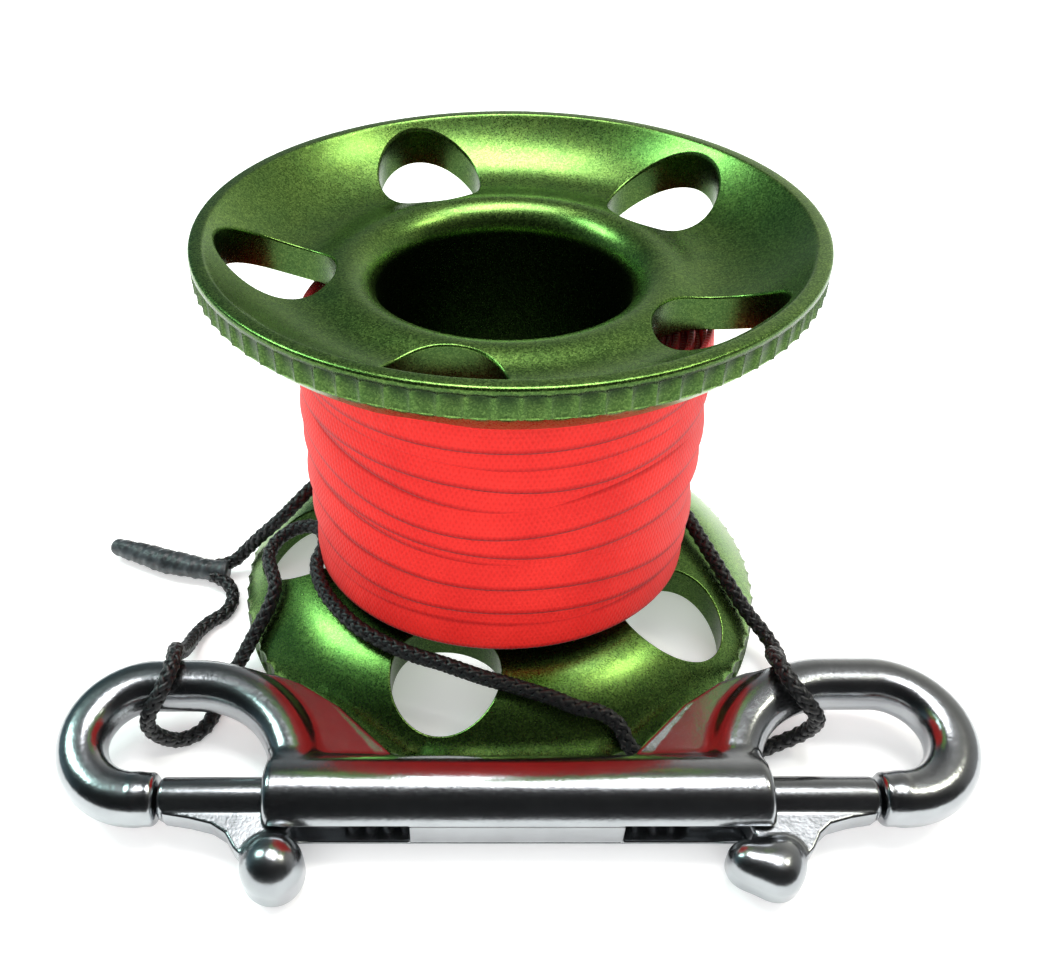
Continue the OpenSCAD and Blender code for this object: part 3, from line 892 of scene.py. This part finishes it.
def arc_distance(p, centre, radius, start, end):
    """Distance in the plane to an arc given by angles in degrees."""
    d = p - np.asarray(centre, float)
    angle = np.degrees(np.arctan2(d[:, 1], d[:, 0])) % 360
    on = (angle >= start) & (angle <= end)
    near = np.abs(np.linalg.norm(d, axis=1) - radius)
    tips = [np.asarray(centre) + radius * np.array([math.cos(math.radians(a)), math.sin(math.radians(a))])
            for a in (start, end)]
    far = np.minimum(*(np.linalg.norm(p - t, axis=1) for t in tips))
    return np.where(on, near, far)


def rounded_cylinder(along, across, half, radius, edge):
    a, b = np.abs(along) - half + edge, across - radius + edge
    return np.minimum(np.maximum(a, b), 0) + np.hypot(np.maximum(a, 0), np.maximum(b, 0)) - edge


def snap_field(p):
    """Body of the snap in its own frame; the two ends are alike."""
    u, v, w = -np.abs(p[:, 0]), p[:, 1], p[:, 2]
    flat = np.stack([u, v], 1)
    barrel = rounded_cylinder(u, np.hypot(v, w), BARREL_HALF, BARREL_RADIUS, 1.1)
    line = arc_distance(flat, (-45.5, 8.0), 8.0, 90.0, 270.0)
    line = np.minimum(line, segment_distance(flat, (-45.5, 16.0), (-40.4, 16.0)))
    line = np.minimum(line, arc_distance(flat, (-40.4, 2.0), 14.0, 0.0, 90.0))
    line = np.minimum(line, segment_distance(flat, (-26.4, 2.0), (-26.4, 0.5)))
    power = 2.35
    rod = (line ** power + np.abs(w) ** power) ** (1 / power) - ROD_RADIUS
    tip = rounded_cylinder(u + 44.4, np.hypot(v, w), 1.7, ROD_RADIUS, 0.7)
    body = soft_min(soft_min(rod, tip, 0.35), barrel, 1.3)
    web = polygon_distance(flat, [(-35.2, 17.0), (-30.2, 17.0), (-26.7, 15.8), (-21.7, 12.6), (-14.2, 5.2),
                                  (-14.2, 0), (-27.2, 0), (-28.2, 8)])
    plate = soft_max(web, np.abs(w) - np.clip(2.35 - 0.11 * v + 0.13 * (-u - 24.0), 0.8, 2.9), 0.5)
    body = soft_min(body, plate, 1.0)
    body = body - 0.05 * np.exp(-(w + 0.1) ** 2 / 0.25)  # a faint parting line
    ledge = np.maximum(np.abs(w) - 1.85, v + 4.5)
    slot = np.maximum(np.maximum(np.abs(w) - 1.8, v), np.abs(u + 22.0) - 9.5)
    bore = np.maximum(np.hypot(v, w) - BOLT_RADIUS - 0.08, np.abs(u + 17.0) - 14.5)
    opening = np.maximum(np.hypot(v, w) - BOLT_RADIUS - 0.15, np.abs(u + 30.5) - 1.6)
    body = soft_max(body, -ledge, 0.35)
    body = soft_max(body, -slot, 0.3)
    return soft_max(body, -np.minimum(bore, opening), 0.25)


def knob_field(p, right):
    """The left knob is a flattened ball, the right one a longer drop."""
    u, v, w = p[:, 0], p[:, 1], p[:, 2]
    if not right:
        across = np.hypot(u + 27.95, v + 8.6)
        top = np.maximum(np.abs(w + 0.2) - 0.8, 0)
        return np.hypot(across, top * 1.02) - 3.7
    top = np.maximum(np.abs(w + 0.2) - 0.6, 0)
    lobes = [np.hypot(np.hypot(u - a, v - b), top) - r
             for a, b, r in ((-25.9, -8.0, 2.9), (-30.0, -7.5, 2.7), (-29.0, -9.6, 2.7))]
    return soft_min(soft_min(lobes[0], lobes[1], 2.6), lobes[2], 2.6) + 0.45


def bolt_field(p, right):
    """A bolt with its thumb web and knob, both drawn on the left side."""
    u, v, w = p[:, 0], p[:, 1], p[:, 2]
    rod = rounded_cylinder(u + 31.3, np.hypot(v, w), 11.1, BOLT_RADIUS, 0.7)
    flat = np.stack([u + (0.8 * np.clip(-v - 3.0, 0, 2) / 2 if right else 0), v], 1)
    web = polygon_distance(flat, [
        (-26.2, -1), (-41.5, -1), (-41.5, -2.7), (-38.4, -3.2), (-35.6, -3.9), (-33.8, -5.0),
        (-32.6, -6.8), (-30.7, -8.6), (-27.2, -8.6), (-26.2, -6.0)])
    plate = soft_max(web, np.abs(w) - 1.5, 0.4)
    body = soft_min(rod, plate, 0.5)
    return soft_min(body, knob_field(p, right), 0.6)


def place_snap(verts, normals=None):
    """From the snap's own frame to the object's."""
    c, s = math.cos(math.radians(TILT)), math.sin(math.radians(TILT))
    turn = np.array([[1, 0, 0], [0, c, -s], [0, s, c]])
    placed = verts @ turn.T + np.array(SNAP_AT)
    return placed if normals is None else (placed, normals @ turn.T)


def build_snap(settings):
    verts, faces, normals = surface_net(snap_field, (-58.5, -5.9, -5.9), (58.5, 20.3, 5.9),
                                        settings.cell * 1000)
    verts, normals = place_snap(verts, normals)
    mesh = new_mesh("snap_casting", verts, faces, normals)
    mesh.materials.append(steel_material("plated_casting", (0.36, 0.375, 0.39), 0.19, 0.12))
    settle(new_object("snap_casting", mesh), "snap_casting", "snap_body", "snap")


def build_bolts(settings):
    material = steel_material("plated_bolt", (0.34, 0.355, 0.37), 0.22, 0.1)
    for side, right in (("left", False), ("right", True)):
        name = "gate_bolt_" + side
        verts, faces, normals = surface_net(lambda p: bolt_field(p, right), (-44.2, -13.4, -4.6),
                                            (-20.4, 3.4, 4.6), settings.cell * 850)
        if right:
            verts, normals = verts * (-1, 1, 1), normals * (-1, 1, 1)
            faces = [f[::-1] for f in faces]
        verts, normals = place_snap(verts, normals)
        mesh = new_mesh(name, verts, faces, normals)
        mesh.materials.append(material)
        settle(new_object(name, mesh), name, "snap_bolt_" + side, "bolt_" + side)


def build_springs(settings):
    material = steel_material("spring_wire", (0.5, 0.5, 0.52), 0.3, 0.1)
    group = coil_group()
    for side, sign in (("left", -1), ("right", 1)):
        seed = new_object("coil_" + side, new_mesh("coil_" + side, [(0, 0, 0)], []))
        add_nodes(seed, group, Turns=settings.turns, Length=0.0172, Radius=0.00215, Wire=0.00025,
                  Material=material)
        coil = bake(seed, "gate_spring_" + side)
        verts = np.array([v.co for v in coil.data.vertices]) / MM
        start = SPRING_FOOT + 0.25
        verts[:, 0] += start - verts[:, 0].min() if sign > 0 else -start - verts[:, 0].max()
        placed = place_snap(verts) * MM
        coil.data.vertices.foreach_set("co", placed.reshape(-1))
        coil.data.update()
        settle(coil, "gate_spring_" + side, "spring_" + side, "snap")
        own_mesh(coil)


# ---------------------------------------------------------------- cord

def sleeve_mesh():
    """The shrunk tube: round end, slight swell, shallow wrinkles, flat underneath."""
    route = smooth_path([(-60.6, 7.6, 2.0), (-59, 7.1, 2.0), (-56, 5.9, 2.0), (-53, 4.6, 2.0),
                         (-50, 3.5, 2.0), (-47, 2.6, 2.0), (-44, 1.9, 2.0), (-41.2, 1.6, 2.05)], 10)
    route, length = even_path(route, 0.18)
    n, m = len(route), 28
    s = np.linspace(0, length, n)
    tangent = np.gradient(route, axis=0)
    tangent /= np.linalg.norm(tangent, axis=1)[:, None]
    up = np.array([0, 0, 1.0]) - tangent[:, 2:3] * tangent
    up /= np.linalg.norm(up, axis=1)[:, None]
    side = np.cross(up, tangent)
    knots = [0, 0.25, 0.7, 1.5, 3, 5, 7, 9, 11, 13, 15.5, 18, 19.5, length]
    radii = [0.5, 1.0, 1.3, 1.42, 1.5, 1.6, 1.72, 1.8, 1.8, 1.74, 1.62, 1.52, 1.5, 1.52]
    radius = np.interp(s, knots, radii)
    verts = []
    for i in range(n):
        for k in range(m):
            a = 2 * math.pi * k / m
            r = radius[i]
            dent = 0.05 * math.sin(s[i] * 2.6 + 1.3 * math.sin(a)) + 0.045 * math.sin(s[i] * 5.3 + 2 * a)
            dent += 0.05 * math.sin(3 * a + s[i] * 0.9)
            r = r + dent * min(1.0, s[i] / 2)
            wide = 1.0 + 0.12 * min(1.0, s[i] / 10)
            p = route[i] + side[i] * (r * wide * math.cos(a)) + up[i] * (r * 0.95 * math.sin(a))
            p[2] = max(p[2], 0.06)
            verts.append(p)
    faces = [(i * m + k, i * m + (k + 1) % m, (i + 1) * m + (k + 1) % m, (i + 1) * m + k)
             for i in range(n - 1) for k in range(m)]
    faces += [tuple(range(m - 1, -1, -1)), tuple((n - 1) * m + k for k in range(m))]
    return verts, faces


def build_cord(settings):
    route, length = even_path(smooth_path(CORD_ROUTE, 12), 0.9)
    lead = curve_object("loop_cord_braid", route)
    add_nodes(lead, braid_group(), Strands=settings.strands, Pitch=settings.pitch,
              Material=cord_material())
    cord = bake(lead, "loop_cord_braid")
    settle(cord, "loop_cord_braid", "loop_cord", "snap")
    verts, faces = sleeve_mesh()
    mesh = new_mesh("shrunk_sleeve", verts, faces)
    outward_faces(mesh)
    mesh.materials.append(sleeve_material())
    sleeve = new_object("shrunk_sleeve", mesh)
    settle(sleeve, "shrunk_sleeve", "heat_shrink_sleeve", "snap")


# ---------------------------------------------------------------- stage

def build_camera():
    camera = bpy.data.cameras.new("camera")
    camera.sensor_width = 36.0
    camera.lens = CAMERA_LENS
    camera.shift_x, camera.shift_y = CAMERA_SHIFT
    camera.clip_start, camera.clip_end = 0.005, 20.0
    obj = new_object("camera", camera)
    turn = Matrix(CAMERA_AXES).transposed().to_4x4()
    obj.matrix_world = Matrix.Translation(Vector(CAMERA_AT) * MM) @ turn
    bpy.context.scene.camera = obj


def area_light(name, at, towards, size, power, colour=(1, 1, 1)):
    """A soft lamp; its places and size are in metres, its power in watts."""
    light = bpy.data.lights.new(name, "AREA")
    light.shape = "RECTANGLE"
    light.size, light.size_y = size
    light.energy = power
    light.color = colour
    obj = new_object(name, light)
    obj.location = at
    obj.rotation_euler = (Vector(towards) - Vector(at)).to_track_quat("-Z", "Y").to_euler()
    return obj


def build_world(ambient):
    """Even light from all sides, and for what shines a softer, darker room with a bright right side."""
    world = bpy.data.worlds.new("studio")
    world.use_nodes = True
    bpy.context.scene.world = world
    world.node_tree.nodes.clear()
    net = Net(world.node_tree)
    axes = net.add("ShaderNodeSeparateXYZ", out=None, i0=net.add("ShaderNodeTexCoord", out="Generated"))
    across, depth, height = (net.math("MULTIPLY_ADD", axis, 0.5, 0.5) for axis in axes.outputs)
    lift = net.ramp(height, [(0.0, 0.9), (0.5, 1.0), (0.6, 0.8), (0.7, 0.6), (0.85, 0.28), (1.0, 0.25)])
    side = net.ramp(across, [(0.0, (0.25, 0.4, 0.45)), (0.2, (0.08, 0.17, 0.19)),
                             (0.38, (0.22, 0.27, 0.28)), (0.55, (0.7, 0.7, 0.69)),
                             (0.75, (1.3, 1.27, 1.15)), (1.0, 0.7)])
    front = net.ramp(depth, [(0.0, (0.03, 0.03, 0.035)), (0.32, (0.07, 0.07, 0.075)),
                             (0.55, 0.8), (1.0, 1.0)])
    studio = net.mix(1.0, net.mix(1.0, lift, side, "MULTIPLY"), front, "MULTIPLY")
    glossy = net.add("ShaderNodeLightPath", out="Is Glossy Ray")
    colour = net.mix(glossy, (ambient, ambient, ambient, 1.0), studio)
    background = net.add("ShaderNodeBackground", s_Color=colour, s_Strength=1.0)
    net.add("ShaderNodeOutputWorld", out=None, i0=background)


def build_stage(settings):
    half = 3000
    corners = [(-half, -half, 0), (half, -half, 0), (half, half, 0), (-half, half, 0)]
    floor = new_object("floor", new_mesh("floor", corners, [(0, 1, 2, 3)], smooth=False))
    floor.data.materials.append(floor_material())
    bpy.context.scene.view_settings.view_transform = "Standard"
    build_world(settings.ambient)
    centre = (0.0, -0.01, 0.03)
    area_light("overhead", (0.05, 0.1, 0.9), centre, (0.5, 0.35), 6.0 * settings.power)
    area_light("window_left", (-0.58, 0.2, 0.72), centre, (0.22, 0.34), 3.2 * settings.power,
               (0.7, 1.0, 0.92))
    area_light("lamp_right", (0.5, 0.02, 0.8), centre, (0.16, 0.16), 1.4 * settings.power,
               (1.0, 0.98, 0.8))
    fill = area_light("front_fill", (-0.15, -0.8, 0.55), centre, (0.8, 0.5), 3.0 * settings.power)
    fill.visible_glossy = False


# ---------------------------------------------------------------- settings, operators, panel

class CordSettings(bpy.types.PropertyGroup):
    diameter: bpy.props.FloatProperty(name="Diameter", description="Width of the braided cord",
                                      default=0.002, min=0.001, max=0.004, unit="LENGTH")
    strands: bpy.props.IntProperty(name="Strands", description="Strands plaited in the cord", default=8,
                                   min=4, max=16)
    pitch: bpy.props.FloatProperty(name="Pitch", description="Length in which a strand goes once round",
                                   default=0.006, min=0.002, max=0.02, unit="LENGTH")


class SpoolSettings(bpy.types.PropertyGroup):
    flutes: bpy.props.IntProperty(name="Flutes", description="Flutes round each rim, 4 degrees each",
                                  default=90, min=90, max=90)
    flute_depth: bpy.props.FloatProperty(name="Flute depth", description="Depth of each flute",
                                         default=0.00042, min=0.0001, max=0.0008, unit="LENGTH")


class LineSettings(bpy.types.PropertyGroup):
    width: bpy.props.FloatProperty(name="Width", description="Width of the flat line", default=0.0047,
                                   min=0.002, max=0.008, unit="LENGTH")
    thickness: bpy.props.FloatProperty(name="Thickness", description="Thickness of the flat line",
                                       default=0.0009, min=0.0004, max=0.002, unit="LENGTH")


class SnapSettings(bpy.types.PropertyGroup):
    cell: bpy.props.FloatProperty(name="Mesh cell", description="Cell size of the casting's mesh",
                                  default=0.00032, min=0.0001, max=0.001, unit="LENGTH")
    turns: bpy.props.FloatProperty(name="Spring turns", description="Coils of each gate spring",
                                   default=8.0, min=4.0, max=14.0)


class StageSettings(bpy.types.PropertyGroup):
    power: bpy.props.FloatProperty(name="Light power", description="Scales the four lamps",
                                   default=1.0, min=0.0, max=10.0, unit="POWER")
    ambient: bpy.props.FloatProperty(name="Ambient", description="Evenness of the studio's soft light",
                                     default=0.78, min=0.0, max=2.0, subtype="FACTOR")


class SPOOL_OT_camera_and_cord(bpy.types.Operator):
    """Set the camera and lay the braided cord with its sleeve"""
    bl_idname = "finger_spool.cord"
    bl_label = "Camera and cord"

    def execute(self, context):
        build_camera()
        build_cord(context.scene.spool_cord)
        return {"FINISHED"}


class SPOOL_OT_spool(bpy.types.Operator):
    """Build the anodised spool with its holes and fluted rims"""
    bl_idname = "finger_spool.spool"
    bl_label = "Spool"

    def execute(self, context):
        build_spool(context.scene.spool_body)
        return {"FINISHED"}


class SPOOL_OT_line(bpy.types.Operator):
    """Wind the flat woven line"""
    bl_idname = "finger_spool.line"
    bl_label = "Line"

    def execute(self, context):
        length = build_line(context.scene.spool_line)
        print("line length, mm", round(length))
        return {"FINISHED"}


class SPOOL_OT_snap(bpy.types.Operator):
    """Cast the body of the bolt snap"""
    bl_idname = "finger_spool.snap"
    bl_label = "Snap body"

    def execute(self, context):
        build_snap(context.scene.spool_snap)
        return {"FINISHED"}


class SPOOL_OT_bolts(bpy.types.Operator):
    """Build the two gate bolts and their springs"""
    bl_idname = "finger_spool.bolts"
    bl_label = "Gate bolts and springs"

    def execute(self, context):
        build_bolts(context.scene.spool_snap)
        build_springs(context.scene.spool_snap)
        return {"FINISHED"}


class SPOOL_OT_stage(bpy.types.Operator):
    """Lay the pale floor and set the lights"""
    bl_idname = "finger_spool.stage"
    bl_label = "Stage"

    def execute(self, context):
        build_stage(context.scene.spool_stage)
        return {"FINISHED"}


class SPOOL_PT_panel(bpy.types.Panel):
    bl_label = "Finger Spool"
    bl_idname = "SPOOL_PT_panel"
    bl_space_type = "VIEW_3D"
    bl_region_type = "UI"
    bl_category = "Finger Spool"

    def draw(self, context):
        for name in GROUPS:
            group = getattr(context.scene, name)
            box = self.layout.box()
            for prop in group.__annotations__:
                box.prop(group, prop)
        for operator in OPERATORS:
            self.layout.operator(operator.bl_idname)


OPERATORS = (SPOOL_OT_camera_and_cord, SPOOL_OT_spool, SPOOL_OT_line, SPOOL_OT_snap, SPOOL_OT_bolts,
             SPOOL_OT_stage)
GROUPS = {"spool_cord": CordSettings, "spool_body": SpoolSettings, "spool_line": LineSettings,
          "spool_snap": SnapSettings, "spool_stage": StageSettings}


def register():
    for cls in (*GROUPS.values(), *OPERATORS, SPOOL_PT_panel):
        bpy.utils.register_class(cls)
    for name, cls in GROUPS.items():
        setattr(bpy.types.Scene, name, bpy.props.PointerProperty(type=cls))


def unregister():
    for name in GROUPS:
        delattr(bpy.types.Scene, name)
    for cls in (SPOOL_PT_panel, *reversed(OPERATORS), *reversed(list(GROUPS.values()))):
        bpy.utils.unregister_class(cls)


def main():
    register()
    for operator in OPERATORS:
        group, name = operator.bl_idname.split(".")
        getattr(getattr(bpy.ops, group), name)()


if __name__ == "__main__":
    main()
